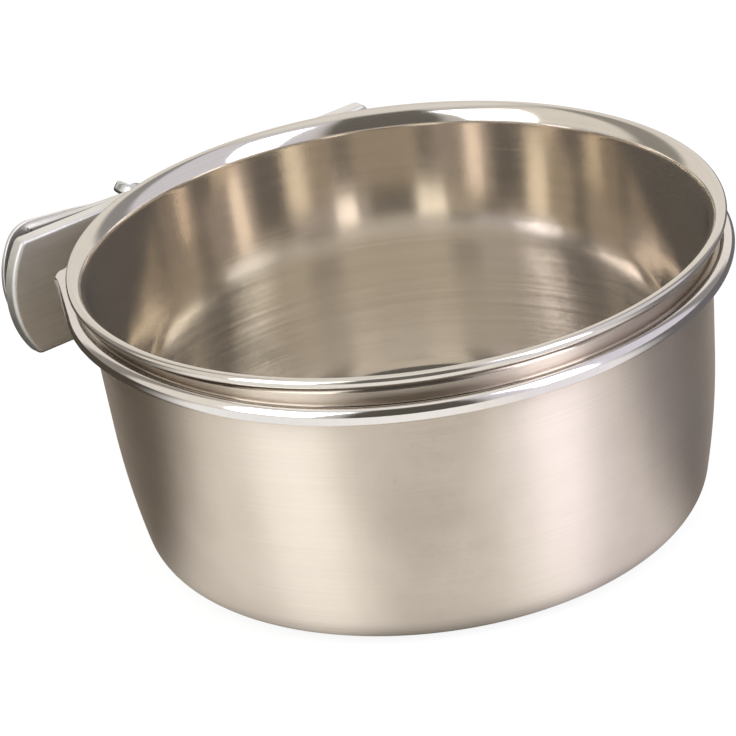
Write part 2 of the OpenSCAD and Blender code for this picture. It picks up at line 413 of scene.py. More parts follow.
def tidyNormals(piece):
    work = bmesh.new()
    work.from_mesh(piece.data)
    bmesh.ops.remove_doubles(work, verts=work.verts, dist=sameSpot)
    bmesh.ops.recalc_face_normals(work, faces=work.faces)
    work.to_mesh(piece.data)
    work.free()
    return piece


def movePoints(piece, matrix):
    piece.data.transform(matrix)
    return piece


def toClampAxis(y):
    # A piece turned about Z, stood on the bolt's axis with its top along +Y
    return Matrix.Translation(Vector((0, y, clampHeight))) @ Matrix.Rotation(math.radians(-90), 4, "X")


# Turned pieces: a profile in the XZ plane goes round the Z axis

def makeTurnedTree():
    tree, given, end = newTree("turnedShell", {
        "Segments": "Int", "Main Finish": "Material", "Second Finish": "Material"})
    profile = given["Geometry"]
    size = addNode(tree, "GeometryNodeAttributeDomainSize", component="MESH")
    join(tree, profile, size.inputs[0])
    grid, row, column = wrapGrid(tree, given["Segments"], size.outputs["Point Count"])
    turn = mathNode(tree, "DIVIDE", times(tree, column, 2 * math.pi), given["Segments"])
    place = sampleAt(tree, profile, wired(tree, "GeometryNodeInputPosition", {}), row, "FLOAT_VECTOR")
    turned = wired(
        tree, "ShaderNodeVectorRotate", {"Vector": place, "Angle": turn}, rotation_type="Z_AXIS")
    finish = sampleAt(tree, profile, readAttribute(tree, "finish"), row, "FLOAT")
    shell = storeAttribute(
        tree, grid.outputs["Mesh"], "UVMap", grid.outputs["UV Map"], "FLOAT2", "CORNER")
    shell = storeAttribute(tree, shell, "finish", finish, "FLOAT", "POINT")
    shell = placeAndMerge(tree, shell, turned, 10 * sameSpot)
    second = mathNode(tree, "GREATER_THAN", readAttribute(tree, "finish"), 0.5)
    finishTree(tree, shell, [(given["Main Finish"], None), (given["Second Finish"], second)], end)
    return tree


turnedTree = makeTurnedTree()


def arcPoints(centre, radius, start, stop, count):
    turns = [math.radians(start + (stop - start) * i / count) for i in range(count + 1)]
    return [(centre[0] + radius * math.cos(t), centre[1] + radius * math.sin(t)) for t in turns]


def turnedPiece(name, outline, segments, main, second=None, finish=None):
    piece = linePiece(name, [(r, 0, z) for r, z in outline], finish=finish or [0] * len(outline))
    runTree(piece, turnedTree, {
        "Segments": segments, "Main Finish": main, "Second Finish": second or main})
    return tidyNormals(piece)


# The cup: a straight draft, a shallow bow, a round corner, and a flared lip with a rolled bead
cupShape = {
    "wallRadius": ringRadius - wireRadius - 0.2 * mm,   # where the ring holds it
    "sheet": 0.7 * mm,
    "draft": 0.062,
    "bowRadius": 156 * mm,
    "bowLean": 12.2,
    "corner": 7.9 * mm,
    "bead": 1.0 * mm,
    "beadOut": 2.25 * mm,
    "beadOpen": 40,          # degrees left open where the bead meets the lip's under side
    "flare": 5.0 * mm,
    "floorRings": (0, 8 * mm, 20 * mm, 34 * mm),
    "cornerSteps": 16,
    "bowSteps": 10,
    "lipSteps": 18,
    "beadSteps": 26,
    "hidden": 3,             # steps of the lip's under side that lie inside the bead
    "polished": 15,          # steps after those, still in the inside's finish
    "segments": 320,
}


def cupOutline(shape):
    lean, bowLean = math.atan(shape["draft"]), math.radians(shape["bowLean"])
    up = Vector((math.sin(lean), math.cos(lean)))
    out = Vector((up.y, -up.x))
    corner, bow, sheet, flare = shape["corner"], shape["bowRadius"], shape["sheet"], shape["flare"]
    bowStart = corner * (1 - math.sin(bowLean)) + bow * (math.sin(bowLean) - math.sin(lean))
    bowTop = shape["wallRadius"] - shape["draft"] * (ringHeight - bowStart)
    bowCentre = (bowTop - bow * up.y, bowStart + bow * up.x)
    cornerCentre = (bowCentre[0] + (bow - corner) * math.cos(bowLean), corner)
    beadCentre = Vector((shape["wallRadius"] + shape["beadOut"], cupTop - shape["bead"]))
    offset = Vector((shape["wallRadius"], ringHeight)) + (flare - sheet) * out - beadCentre
    along = offset.dot(up)
    rise = -along - math.sqrt(along * along - offset.dot(offset) + (flare - shape["bead"]) ** 2)
    flareCentre = beadCentre + offset + rise * up
    toBead = beadCentre - flareCentre
    flareEnd = math.degrees(math.atan2(toBead.y, toBead.x))
    flareStart = 180 - math.degrees(lean)
    lip = arcPoints(flareCentre, flare, flareStart, flareEnd, shape["lipSteps"])
    under = arcPoints(flareCentre, flare - sheet, flareEnd, flareStart, shape["lipSteps"])
    meet = math.degrees(math.atan2(under[0][1] - beadCentre.y, under[0][0] - beadCentre.x))
    bead = arcPoints(
        beadCentre, shape["bead"], flareEnd, meet - 360 + shape["beadOpen"], shape["beadSteps"])

    def wall(inset):
        low, high = -shape["bowLean"], -math.degrees(lean)
        return ([(r, inset) for r in shape["floorRings"]]
                + arcPoints(cornerCentre, corner - inset, -90, low, shape["cornerSteps"])
                + arcPoints(bowCentre, bow - inset, low, high, shape["bowSteps"])[1:])

    outside = under[shape["hidden"]:] + list(reversed(wall(0)))
    outline = wall(sheet) + lip + bead[1:] + outside
    brushed = len(outside) - shape["polished"]
    return outline, [0] * (len(outline) - brushed) + [1] * brushed


cupProfile, cupFinish = cupOutline(cupShape)
cup = turnedPiece("cup_shell", cupProfile, cupShape["segments"], cupInside, cupOutside, cupFinish)
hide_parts("cup")
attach(cup, "cup")
print("cup made")


# The ring: one wire round the cup, with straight ends that meet in a peaked butt weld
ringShape = {
    "jointAngle": 132.4,
    "jointHalf": 19.2,       # what the straight ends span on each side
    "endShares": (0.008, 0.018, 0.03, 0.045, 0.065, 0.1, 0.2, 0.4, 0.7),   # closer near the weld
    "lift": 1.4 * mm,        # the wire is sprung up towards the rim beside its joint
    "liftAngle": 173,
    "liftSpan": 30,
    "steps": 300,
    "sides": 40,
    "weldSwell": 0.15 * mm,
    "weldWidth": 1.1 * mm,
}


def makeWireTree():
    tree, given, end = newTree("weldedWire", {
        "Wire Radius": "Float", "Sides": "Int", "Weld Swell": "Float", "Weld Width": "Float",
        "Weld Place": "Vector", "Finish": "Material"})
    curve = wired(tree, "GeometryNodeMeshToCurve", {"Mesh": given["Geometry"]})
    away = addNode(tree, "ShaderNodeVectorMath", operation="DISTANCE")
    join(tree, wired(tree, "GeometryNodeInputPosition", {}), away.inputs[0])
    join(tree, given["Weld Place"], away.inputs[1])
    share = mathNode(tree, "DIVIDE", away.outputs["Value"], given["Weld Width"])
    swell = mathNode(tree, "EXPONENT", times(tree, times(tree, share, share), -1))
    radius = plus(tree, given["Wire Radius"], times(tree, swell, given["Weld Swell"]))
    circle = {"Radius": 1, "Resolution": given["Sides"]}
    tube = wired(tree, "GeometryNodeCurveToMesh", {
        "Curve": curve, "Scale": radius,
        "Profile Curve": wired(tree, "GeometryNodeCurvePrimitiveCircle", circle)})
    finishTree(tree, tube, [(given["Finish"], None)], end)
    return tree


def ringPath(shape):
    peak, half = math.radians(shape["jointAngle"]), math.radians(shape["jointHalf"])

    def onRing(turn):
        return Vector((math.cos(turn), math.sin(turn))) * ringRadius

    def raised(point):
        turn = math.degrees(math.atan2(point.y, point.x)) % 360
        away = (turn - shape["liftAngle"]) / shape["liftSpan"]
        return point.x, point.y, ringHeight + shape["lift"] * math.exp(-away * away)

    corner = onRing(peak) / math.cos(half)
    toFoot = (onRing(peak + half) - corner).normalized()
    toLast = (onRing(peak - half) - corner).normalized()
    ends = [ringRadius * math.tan(half) * share for share in shape["endShares"]]
    steps = shape["steps"]
    points = [corner] + [corner + toFoot * d for d in ends]
    points += [onRing(peak + half + (2 * math.pi - 2 * half) * i / steps) for i in range(steps + 1)]
    points += [corner + toLast * d for d in reversed(ends)]
    return [raised(p) for p in points], raised(corner)


wirePath, weldPlace = ringPath(ringShape)
ring = linePiece("ring_wire", wirePath, closed=True)
runTree(ring, makeWireTree(), {
    "Wire Radius": wireRadius, "Sides": ringShape["sides"], "Weld Swell": ringShape["weldSwell"],
    "Weld Width": ringShape["weldWidth"], "Weld Place": weldPlace, "Finish": wireFinish})
tidyNormals(ring)
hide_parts("holder_ring")
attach(ring, "holder")
print("ring made")


# Sheet pieces: rings of points round an outline, each drawn in by an inset and set at a depth

def quarterTurns(steps):
    return [math.radians(90 * i / steps) for i in range(steps + 1)]


def bulgedOutline(shape, height):
    # From the right-hand end's foot round to the top edge, then the same again, turned half round
    bulge, corner, steps = shape["bulge"], shape["corner"], shape["cornerSteps"]
    chord = height / 2 - corner
    reach = (chord * chord + bulge * bulge) / (2 * bulge)
    centre = shape["length"] / 2 - reach - corner
    lean = math.degrees(math.asin(chord / reach))
    cornerX = centre + math.sqrt(reach * reach - chord * chord)
    half = arcPoints((cornerX, -chord), corner, -90, -lean, steps)
    half += arcPoints((centre, 0), reach + corner, -lean, lean, shape["endSteps"])[1:-1]
    half += arcPoints((cornerX, chord), corner, lean, 90, steps)
    count = max(2, round(2 * cornerX / shape["step"]))
    half += [(cornerX - 2 * cornerX * i / count, height / 2) for i in range(1, count)]
    return half + [(-x, -z) for x, z in half]


def outwardNormals(outline):
    normals = []
    for i in range(len(outline)):
        before, after = Vector(outline[i - 1]), Vector(outline[(i + 1) % len(outline)])
        along = (after - before).normalized()
        normals.append(Vector((along.y, -along.x)))
    return normals


def roundedEdge(edge, low, high, steps):
    # Inset and depth of the rings of a cut edge with both its corners rounded
    turns = quarterTurns(steps)
    return ([(edge * (1 - math.sin(t)), low + edge * (1 - math.cos(t))) for t in turns]
            + [(edge * (1 - math.cos(t)), high - edge * (1 - math.sin(t))) for t in turns])


def skinRings(work, rings):
    # Faces from each ring of points to the next, and a cap at both ends
    for first, second in zip(rings, rings[1:]):
        for i in range(len(first)):
            j = (i + 1) % len(first)
            work.faces.new((first[i], first[j], second[j], second[i]))
    work.faces.new(list(reversed(rings[0])))
    work.faces.new(rings[-1])


def solidPiece(work, name, finish):
    bmesh.ops.recalc_face_normals(work, faces=work.faces)
    for face in work.faces:
        face.smooth = True
    mesh = bpy.data.meshes.new(name)
    work.to_mesh(mesh)
    work.free()
    mesh.materials.append(finish)
    return addObject(name, mesh)


def loftOutline(name, outline, rows, finish, place):
    # A row is an inset and a depth, or a function that gives both at a point of the outline
    normals = outwardNormals(outline)
    work = bmesh.new()
    rings = []
    for row in rows:
        ring = []
        for point, normal in zip(outline, normals):
            inset, depth = row(point) if callable(row) else row
            spot = Vector(point) - normal * inset
            ring.append(work.verts.new(place @ Vector((spot.x, depth, spot.y))))
        rings.append(ring)
    skinRings(work, rings)
    return solidPiece(work, name, finish)


def removePiece(piece):
    mesh = piece.data
    bpy.data.objects.remove(piece)
    bpy.data.meshes.remove(mesh)


def joinPieces(pieces, name):
    # All in the first one's finishes
    work = bmesh.new()
    for piece in pieces:
        work.from_mesh(piece.data)
    mesh = bpy.data.meshes.new(name)
    work.to_mesh(mesh)
    work.free()
    for material in pieces[0].data.materials:
        mesh.materials.append(material)
    for piece in pieces:
        removePiece(piece)
    return addObject(name, mesh)


# The inner plate: a shallow pan with bulged ends and a tight turned edge
innerPlate = {
    "length": 94.2 * mm,
    "height": 24.5 * mm,
    "bulge": 3.4 * mm,
    "corner": 1.6 * mm,
    "lean": 0.8,             # degrees, welded a little out of level
    "sheet": 1.0 * mm,
    "bend": 0.75 * mm,
    "bendSteps": 6,
    "lip": 0.25 * mm,
    "lipSteps": 4,
    "hold": 0.3 * mm,        # rings this far beyond a bend keep the flats flat
    "faceHold": 0.7 * mm,
    "lipHold": 0.2 * mm,
    "floorHold": 0.5 * mm,
    "fillet": (0.1 * mm, 0.08 * mm),
    "step": 2.5 * mm,
    "cornerSteps": 10,
    "endSteps": 28,
}


def panRows(shape, depth):
    # Out over the face, round the bend, up the turned edge, over its lip and down to the pan's floor
    bend, sheet, lip, hold = shape["bend"], shape["sheet"], shape["lip"], shape["hold"]
    lipStart = depth - lip - shape["lipHold"]
    filletIn, filletUp = shape["fillet"]
    bendTurns, lipTurns = quarterTurns(shape["bendSteps"]), quarterTurns(shape["lipSteps"])
    over = [(lip * (1 - math.cos(t)), depth - lip + lip * math.sin(t)) for t in lipTurns]
    return ([(bend + shape["faceHold"], 0), (bend + hold, 0)]
            + [(bend * (1 - math.sin(t)), bend * (1 - math.cos(t))) for t in bendTurns]
            + [(0, bend + hold), (0, lipStart)] + over
            + [(sheet - inset, height) for inset, height in reversed(over)]
            + [(sheet, lipStart), (sheet, sheet + hold), (sheet + filletIn, sheet + filletUp),
               (sheet + hold, sheet), (sheet + shape["floorHold"], sheet)])


def clampPlace(y, lean):
    return (Matrix.Translation(Vector((0, y, clampHeight)))
            @ Matrix.Rotation(math.radians(lean), 4, "Y"))


innerSheet = loftOutline(
    "inner_plate_pan", bulgedOutline(innerPlate, innerPlate["height"]),
    panRows(innerPlate, plateHigh.y - plateLow.y), plateFinish, clampPlace(faceY, innerPlate["lean"]))
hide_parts("inner_plate")
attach(innerSheet, "holder")
print("inner plate made")


# The outer plate: a back sheet with lobed ends and two arched edges turned towards the cage
outerPlate = {
    "length": 89.4 * mm,
    "lobeHeight": 22.5 * mm,
    "waistHeight": 20.2 * mm,
    "bulge": 1.6 * mm,
    "corner": 5.5 * mm,
    "taper": 16.5 * mm,
    "sheet": 1.0 * mm,
    "bend": 0.95 * mm,       # nearly the sheet's thickness, where the turned edges leave it
    "bendSteps": 6,
    "edge": 0.22 * mm,
    "leastEdge": 0.1,        # the share of its rounding that the sheet keeps under the turned edges
    "edgeSteps": 4,
    "edgeHold": 0.3 * mm,
    "faceHolds": (1.6 * mm, 0.6 * mm),
    "backHolds": (1.5 * mm, 2.2 * mm),
    "sharpSpan": (0, 0.25),  # of the way from lobe to waist, where the front edge turns sharp
    "bendSpan": (0.56, 0.96),
    "flangeLength": 76.0 * mm,
    "arch": 2.0 * mm,
    "archSteps": 44,
    "flangeCorner": 1.6 * mm,
    "flangeCornerSteps": 8,
    "flangeFoot": 0.3 * mm,  # how far the turned edges reach into the sheet
    "roll": 3.0,             # degrees, turned a little on the bolt
    "step": 2.0 * mm,
    "cornerSteps": 10,
    "endSteps": 28,
}


def smoothShare(value, low, high):
    share = min(1, max(0, (value - low) / (high - low)))
    return share * share * (3 - 2 * share)


def waistShare(shape, x):
    # 0 in the lobes, 1 in the waist
    lobeX = shape["length"] / 2 - shape["corner"] - shape["bulge"]
    return min(1, max(0, (lobeX - abs(x)) / shape["taper"]))


def jawOutline(shape):
    drop = (shape["lobeHeight"] - shape["waistHeight"]) / 2

    def drawnIn(x, z):
        onEdge = abs(z) > shape["waistHeight"] / 4
        return x, z - math.copysign(drop, z) * waistShare(shape, x) if onEdge else z

    return [drawnIn(x, z) for x, z in bulgedOutline(shape, shape["lobeHeight"])]


def jawRows(shape):
    sheet, edge, bend = shape["sheet"], shape["edge"], shape["bend"]

    def front(turn):
        # Sharp where the turned edge stands on the sheet, rounded in the lobes
        def row(point):
            sharp = smoothShare(waistShare(shape, point[0]), *shape["sharpSpan"])
            size = edge * max(shape["leastEdge"], 1 - sharp)
            return size * (1 - math.sin(turn)), size * (1 - math.cos(turn))
        return row

    def back(turn):
        # Bent round to the turned edge in the waist
        def row(point):
            bent = smoothShare(waistShare(shape, point[0]), *shape["bendSpan"])
            size = edge + (bend - edge) * bent
            return size * (1 - math.cos(turn)), sheet - size * (1 - math.sin(turn))
        return row

    return ([(inset, 0) for inset in shape["faceHolds"]]
            + [front(t) for t in quarterTurns(shape["edgeSteps"])]
            + [back(t) for t in quarterTurns(shape["bendSteps"])]
            + [(inset, sheet) for inset in shape["backHolds"]])


def flangeOutline(shape, depth):
    # Seen from above: the straight foot in the sheet, the cut ends and the arched front edge
    half, corner, steps = shape["flangeLength"] / 2, shape["flangeCorner"], shape["archSteps"]
    endSteps = shape["flangeCornerSteps"]
    foot = depth - shape["sheet"] + shape["flangeFoot"]
    inner = half - corner
    front = [inner - 2 * inner * i / steps for i in range(steps + 1)]
    arch = [(x, shape["arch"] * (1 - (x / half) ** 2)) for x in front]
    endY = arch[-1][1] + corner
    leftEnd = arcPoints((-inner, endY), corner, 270, 180, endSteps)[1:]
    rightEnd = arcPoints((inner, endY), corner, 0, -90, endSteps)[:-1]
    return [(half, foot), (-half, foot)] + list(reversed(rightEnd + arch + leftEnd))


def makeOuterPlate(shape, depth, place):
    sheetPlace = place @ Matrix.Translation(Vector((0, depth - shape["sheet"], 0)))
    parts = [loftOutline("jawSheet", jawOutline(shape), jawRows(shape), jawFinish, sheetPlace)]
    thick, inner = shape["sheet"], shape["edge"] + shape["edgeHold"]
    rows = ([(inner, 0)] + roundedEdge(shape["edge"], 0, thick, shape["edgeSteps"])
            + [(inner, thick)])
    for side in (1, -1):
        # Laid flat: outline X and Y, thickness down from the waist's edge
        top = side * shape["waistHeight"] / 2
        lay = Matrix(((1, 0, 0, 0), (0, 0, 1, 0), (0, -side, 0, top), (0, 0, 0, 1)))
        parts.append(loftOutline("flange", flangeOutline(shape, depth), rows, jawFinish, place @ lay))
    return joinPieces(parts, "outer_plate_jaw")


outerSheet = makeOuterPlate(outerPlate, jawHigh.y - jawLow.y, clampPlace(jawLow.y, outerPlate["roll"]))
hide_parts("outer_plate")
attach(outerSheet, "outer_jaw")
print("outer plate made")


# The bolt: a domed head with a square neck, and a rolled thread made by its own tree
clampBolt = {
    "headRadius": 6.5 * mm,
    "headHeight": 2.6 * mm,
    "headEdge": 0.3 * mm,
    "headLand": 0.55 * mm,
    "capInset": 0.12 * mm,
    "underHead": ((0.995, -0.08 * mm), (0.98, 0), (0.6, 0), (0, 0)),   # share of its radius, depth
    "domeSteps": 14,
    "rimSteps": 6,
    "headSegments": 64,
    "neck": 6.0 * mm,
    "neckProud": 0.35 * mm,
    "neckCorner": 0.4 * mm,
    "neckSteps": 4,
    "neckBevel": 0.2 * mm,
    "neckSoft": 0.06 * mm,
    "crest": 2.95 * mm,
    "root": 2.5 * mm,
    "flank": (0.12, 0.88),   # where the thread rises from its root to its crest
    "pitch": 1.0 * mm,
    "tip": 2.3 * mm,
    "rowsPerTurn": 10,
    "segments": 40,
}


def makeThreadTree(flank):
    tree, given, end = newTree("rolledThread", {
        "Root": "Float", "Crest": "Float", "Pitch": "Float", "Tip": "Float", "Length": "Float",
        "Rows": "Int", "Rows Per Turn": "Int", "Segments": "Int", "Finish": "Material"})
    grid, row, column = wrapGrid(tree, given["Segments"], given["Rows"])
    share = mathNode(tree, "DIVIDE", column, given["Segments"])
    turns = mathNode(tree, "DIVIDE", row, given["Rows Per Turn"])
    # Each row climbs one pitch in a turn, so the crest is one unbroken line of points
    climb = times(tree, mathNode(tree, "SUBTRACT", plus(tree, turns, share), 1), given["Pitch"])
    height = mathNode(tree, "MINIMUM", mathNode(tree, "MAXIMUM", climb, 0), given["Length"])
    wave = mathNode(tree, "PINGPONG", times(tree, turns, 2), 1)
    ridge = mapped(tree, wave, *flank, given["Root"], given["Crest"])
    # Both ends taper to the tip, and the first and the last row close on the axis
    toEnd = mathNode(tree, "MINIMUM", mathNode(tree, "SUBTRACT", given["Length"], height), height)
    radius = mathNode(tree, "MINIMUM", ridge, plus(tree, given["Tip"], toEnd))
    last = mathNode(tree, "SUBTRACT", given["Rows"], 1.5)
    inner = times(tree, mathNode(tree, "GREATER_THAN", row, 0.5), mathNode(tree, "LESS_THAN", row, last))
    radius = times(tree, radius, inner)
    turn = times(tree, share, 2 * math.pi)
    x = times(tree, mathNode(tree, "COSINE", turn), radius)
    y = times(tree, mathNode(tree, "SINE", turn), radius)
    spot = wired(tree, "ShaderNodeCombineXYZ", {0: x, 1: y, 2: height})
    thread = placeAndMerge(tree, grid.outputs["Mesh"], spot, 20 * sameSpot)
    finishTree(tree, thread, [(given["Finish"], None)], end)
    return tree


def makeBoltHead(shape):
    radius, edge, land = shape["headRadius"], shape["headEdge"], shape["headLand"]
    high = shape["headHeight"]
    cap = radius - shape["capInset"]
    dome = (cap * cap + (high - land) ** 2) / (2 * (high - land))
    rimTurn = math.asin(cap / dome)
    slope = math.degrees(rimTurn) - 90
    rim = (cap - edge * math.sin(rimTurn), -land + edge * math.cos(rimTurn))
    head = arcPoints((0, dome - high), dome, -90, slope, shape["domeSteps"])
    head += arcPoints(rim, edge, slope, 0, shape["rimSteps"])[1:]
    head += [(radius * share, z) for share, z in shape["underHead"]]
    return turnedPiece("boltHead", head, shape["headSegments"], platedFinish)


def makeBoltNeck(shape):
    corner, bevel, soft = shape["neckCorner"], shape["neckBevel"], shape["neckSoft"]
    inner, proud = shape["neck"] / 2 - corner, shape["neckProud"] + innerPlate["sheet"]
    square = []
    for x, z, start in ((1, 1, 0), (-1, 1, 90), (-1, -1, 180), (1, -1, 270)):
        square += arcPoints((x * inner, z * inner), corner, start, start + 90, shape["neckSteps"])
    rows = [(1.5 * bevel, -bevel), (0, -bevel), (0, proud - bevel), (soft, proud - soft),
            (bevel, proud), (3 * bevel, proud)]
    swapYZ = Matrix(((1, 0, 0, 0), (0, 0, 1, 0), (0, 1, 0, 0), (0, 0, 0, 1)))
    return loftOutline("boltNeck", square, rows, platedFinish, swapYZ)


def makeBolt(shape, length):
    thread = linePiece("boltThread", [(0, 0, 0), (0, 0, length)])
    perTurn = shape["rowsPerTurn"]
    turns = length / shape["pitch"] + 1.2    # over a turn more, as the rows start a pitch low
    runTree(thread, makeThreadTree(shape["flank"]), {
        "Root": shape["root"], "Crest": shape["crest"], "Pitch": shape["pitch"], "Tip": shape["tip"],
        "Length": length, "Rows": int(turns * perTurn), "Rows Per Turn": perTurn,
        "Segments": shape["segments"], "Finish": platedFinish})
    parts = [makeBoltHead(shape), makeBoltNeck(shape), tidyNormals(thread)]
    lean = Matrix.Rotation(math.radians(innerPlate["lean"]), 4, "Z")
    return movePoints(joinPieces(parts, "clamp_bolt_threaded"), toClampAxis(faceY) @ lean)


bolt = makeBolt(clampBolt, boltEnd - faceY)
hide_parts("clamp_bolt")
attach(bolt, "holder")
print("bolt made")


# The washer, pressed flat with softened rims
washerShape = {"bore": 3.3 * mm, "bevel": 0.18 * mm, "bevelSteps": 5, "segments": 72}


def makeWasher(shape, outer, thick):
    bore, bevel = shape["bore"], shape["bevel"]
    section = []
    for r, z, start in ((outer - bevel, bevel, -90), (outer - bevel, thick - bevel, 0),
                        (bore + bevel, thick - bevel, 90), (bore + bevel, bevel, 180)):
        section += arcPoints((r, z), bevel, start, start + 90, shape["bevelSteps"])
    return turnedPiece("washer_pressed", section + section[:1], shape["segments"], platedFinish)


washer = movePoints(
    makeWasher(washerShape, (washerHigh.x - washerLow.x) / 2, washerHigh.y - washerLow.y),
    toClampAxis(washerLow.y))
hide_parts("washer")
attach(washer, "carrier")
print("washer made")


# The wing nut: a tapered hub and two cast wings, melted together and bored
wingNut = {
    "footRadius": 5.7 * mm,
    "footBevel": 0.35 * mm,
    "topRadius": 4.6 * mm,
    "topBevel": 0.5 * mm,
    "hubHeight": 7.0 * mm,
    "hubSegments": 64,
    "bore": 2.6 * mm,
    "mouth": 3.23 * mm,
    "cutterPast": (0.02 * mm, 0.05 * mm),   # beyond the mouth and the hub's top
    "leadDepth": 0.6 * mm,
    "boreSegments": 48,
    "turn": 42.0,
    "reach": 11.5 * mm,
    "wingFoot": (            # across from the axis, up from the foot
        (1.5 * mm, 0.5 * mm), (5.2 * mm, 0.45 * mm), (6.3 * mm, 0.9 * mm), (7.5 * mm, 1.7 * mm),
        (8.6 * mm, 2.6 * mm)),
    "wingBack": ((3.4 * mm, 8.8 * mm), (3.4 * mm, 7.4 * mm), (3.3 * mm, 6.8 * mm), (1.5 * mm, 6.4 * mm)),
    "tipRadius": 4.6 * mm,
    "tipTurns": (-55, 140),
    "tipSteps": 26,
    "thick": 2.4 * mm,
    "edge": 0.55 * mm,
    "edgeSteps": 3,
    "edgeHold": 0.88 * mm,
    "voxel": 0.22 * mm,
    "soften": (0.6, 6),      # how much, how often
}


def makeNutHub(shape):
    foot, top, high = shape["footRadius"], shape["topRadius"], shape["hubHeight"]
    hub = [(0, 0), (foot - shape["footBevel"], 0), (foot, shape["footBevel"]),
           (top, high - shape["topBevel"]), (top - shape["topBevel"], high), (0, high)]
    return turnedPiece("nutHub", hub, shape["hubSegments"], nutFinish)


def makeNutWing(shape, high, side):
    # Its outline goes up the outside, round the tip and back down to the hub's top
    tipR = shape["tipRadius"]
    tip = arcPoints(
        (shape["reach"] - tipR, high - tipR), tipR, *shape["tipTurns"], shape["tipSteps"])
    outline = [*shape["wingFoot"], *tip, *shape["wingBack"]]
    half, edge, hold = shape["thick"] / 2, shape["edge"], shape["edgeHold"]
    rows = ([(hold, -half), (edge, -half)] + roundedEdge(edge, -half, half, shape["edgeSteps"])
            + [(hold, half)])
    spin = Matrix.Rotation(math.radians(shape["turn"] + side), 4, "Z")
    return loftOutline("nutWing", outline, rows, nutFinish, spin)


def makeNutBore(shape, high):
    # What the drill takes out: the bore, and a lead at both ends
    bore, mouth, lead, top = shape["bore"], shape["mouth"], shape["leadDepth"], shape["hubHeight"]
    past, above = shape["cutterPast"]
    clear = mouth + past
    return turnedPiece("nutBore", [
        (0, -mm), (clear + mm, -mm), (mouth, 0), (bore, lead), (bore, top - lead),
        (mouth, top + above), (clear, high + mm), (0, high + mm)], shape["boreSegments"], nutFinish)


def makeWingNut(shape, high):
    parts = [makeNutHub(shape)] + [makeNutWing(shape, high, side) for side in (0, 180)]
    nut = joinPieces(parts, "wing_nut_cast")
    melt = nut.modifiers.new("melt", "REMESH")
    melt.mode = "VOXEL"
    melt.voxel_size = shape["voxel"]
    melt.use_smooth_shade = True
    soften = nut.modifiers.new("soften", "SMOOTH")
    soften.factor, soften.iterations = shape["soften"]
    cutter = makeNutBore(shape, high)
    drill = nut.modifiers.new("drill", "BOOLEAN")
    drill.object = cutter
    drill.operation = "DIFFERENCE"
    drill.solver = "EXACT"
    depsgraph = bpy.context.evaluated_depsgraph_get()
    mesh = bpy.data.meshes.new_from_object(nut.evaluated_get(depsgraph), depsgraph=depsgraph)
    nut.modifiers.clear()
    swapMesh(nut, mesh)
    removePiece(cutter)
    mesh.materials.clear()
    mesh.materials.append(nutFinish)
    for face in mesh.polygons:
        face.material_index = 0
        face.use_smooth = True
    return nut


nut = movePoints(makeWingNut(wingNut, nutHigh.y - nutLow.y), toClampAxis(nutLow.y))
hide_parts("wing_nut")
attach(nut, "nut")
print("wing nut made")


# The weld that holds the ring on the plate: a bead above and below the wire
plateWeld = {
    "half": 7.0 * mm,
    "size": 1.15 * mm,
    "endShare": 0.15,        # of its size, at the bead's two ends
    "columns": 60,
    "ripple": 0.08 * mm,
    "ripples": 13,
    "climb": (20, 58),       # degrees up the wire, from no bead to a full one
    "footRise": 0.75,        # shares of the wire's radius
    "rootRise": 0.2,
    "rootDepth": 0.8,
    "sunk": 0.05 * mm,       # into the plate
    "sag": 0.064,            # share of the bead's size
    "sagSteps": 6,
}


def weldSection(shape, along, side):
    # One section of the bead: from inside the wire over its touch line, down to the plate and back
    x = along * shape["half"]
    swell = math.sqrt(max(0, 1 - along * along))
    size = (shape["size"] * (shape["endShare"] + (1 - shape["endShare"]) * swell)
            + shape["ripple"] * swell * math.sin(along * shape["ripples"] * math.pi))
    wire = math.sqrt(ringRadius * ringRadius - x * x)
    low, high = shape["climb"]
    lift = math.radians(low + (high - low) * size / shape["size"])
    rootZ = side * wireRadius * shape["rootRise"]
    plateY = faceY + shape["sunk"]
    touch = Vector((wire + wireRadius * math.cos(lift), side * wireRadius * math.sin(lift)))
    foot = Vector((plateY, side * (wireRadius * shape["footRise"] + size)))
    points = [(wire + wireRadius * shape["rootDepth"], rootZ), touch]
    for k in range(1, shape["sagSteps"]):
        share = k / shape["sagSteps"]
        sag = shape["sag"] * size * math.sin(math.pi * share)
        points.append(touch.lerp(foot, share) + Vector((sag, -side * sag)))
    points += [foot, (plateY, rootZ)]
    return [(x, y, z + ringHeight) for y, z in points]


def makePlateWeld(shape):
    work = bmesh.new()
    for side in (1, -1):
        steps = [-1 + 2 * i / shape["columns"] for i in range(shape["columns"] + 1)]
        skinRings(work, [[work.verts.new(p) for p in weldSection(shape, s, side)] for s in steps])
    return solidPiece(work, "ring_weld", weldFinish)


weld = makePlateWeld(plateWeld)
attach(weld, "holder")
print("weld made")


# The studio: a pale floor, and soft windows of light in the world round it
studio = {
    "floorSize": 6.0,
    "floorBelow": 0.05 * mm,
    "floorTone": (0.86, 0.85, 0.83),
    "floorLift": 0.88,                  # what the camera sees of the floor, before its own light
    "floorKept": 0.24,                  # how much of the floor's light and shadow stays in that
    "floorBase": 1.0,                   # the floor as the metal sees it, between the painted pools
    "heelShade": (50 * mm, 63 * mm),    # where the cup's shadow on the floor ends, as the metal sees it
    "heelTone": 0.06,                   # and how light it is under the cup
    "ambient": 0.58,
}

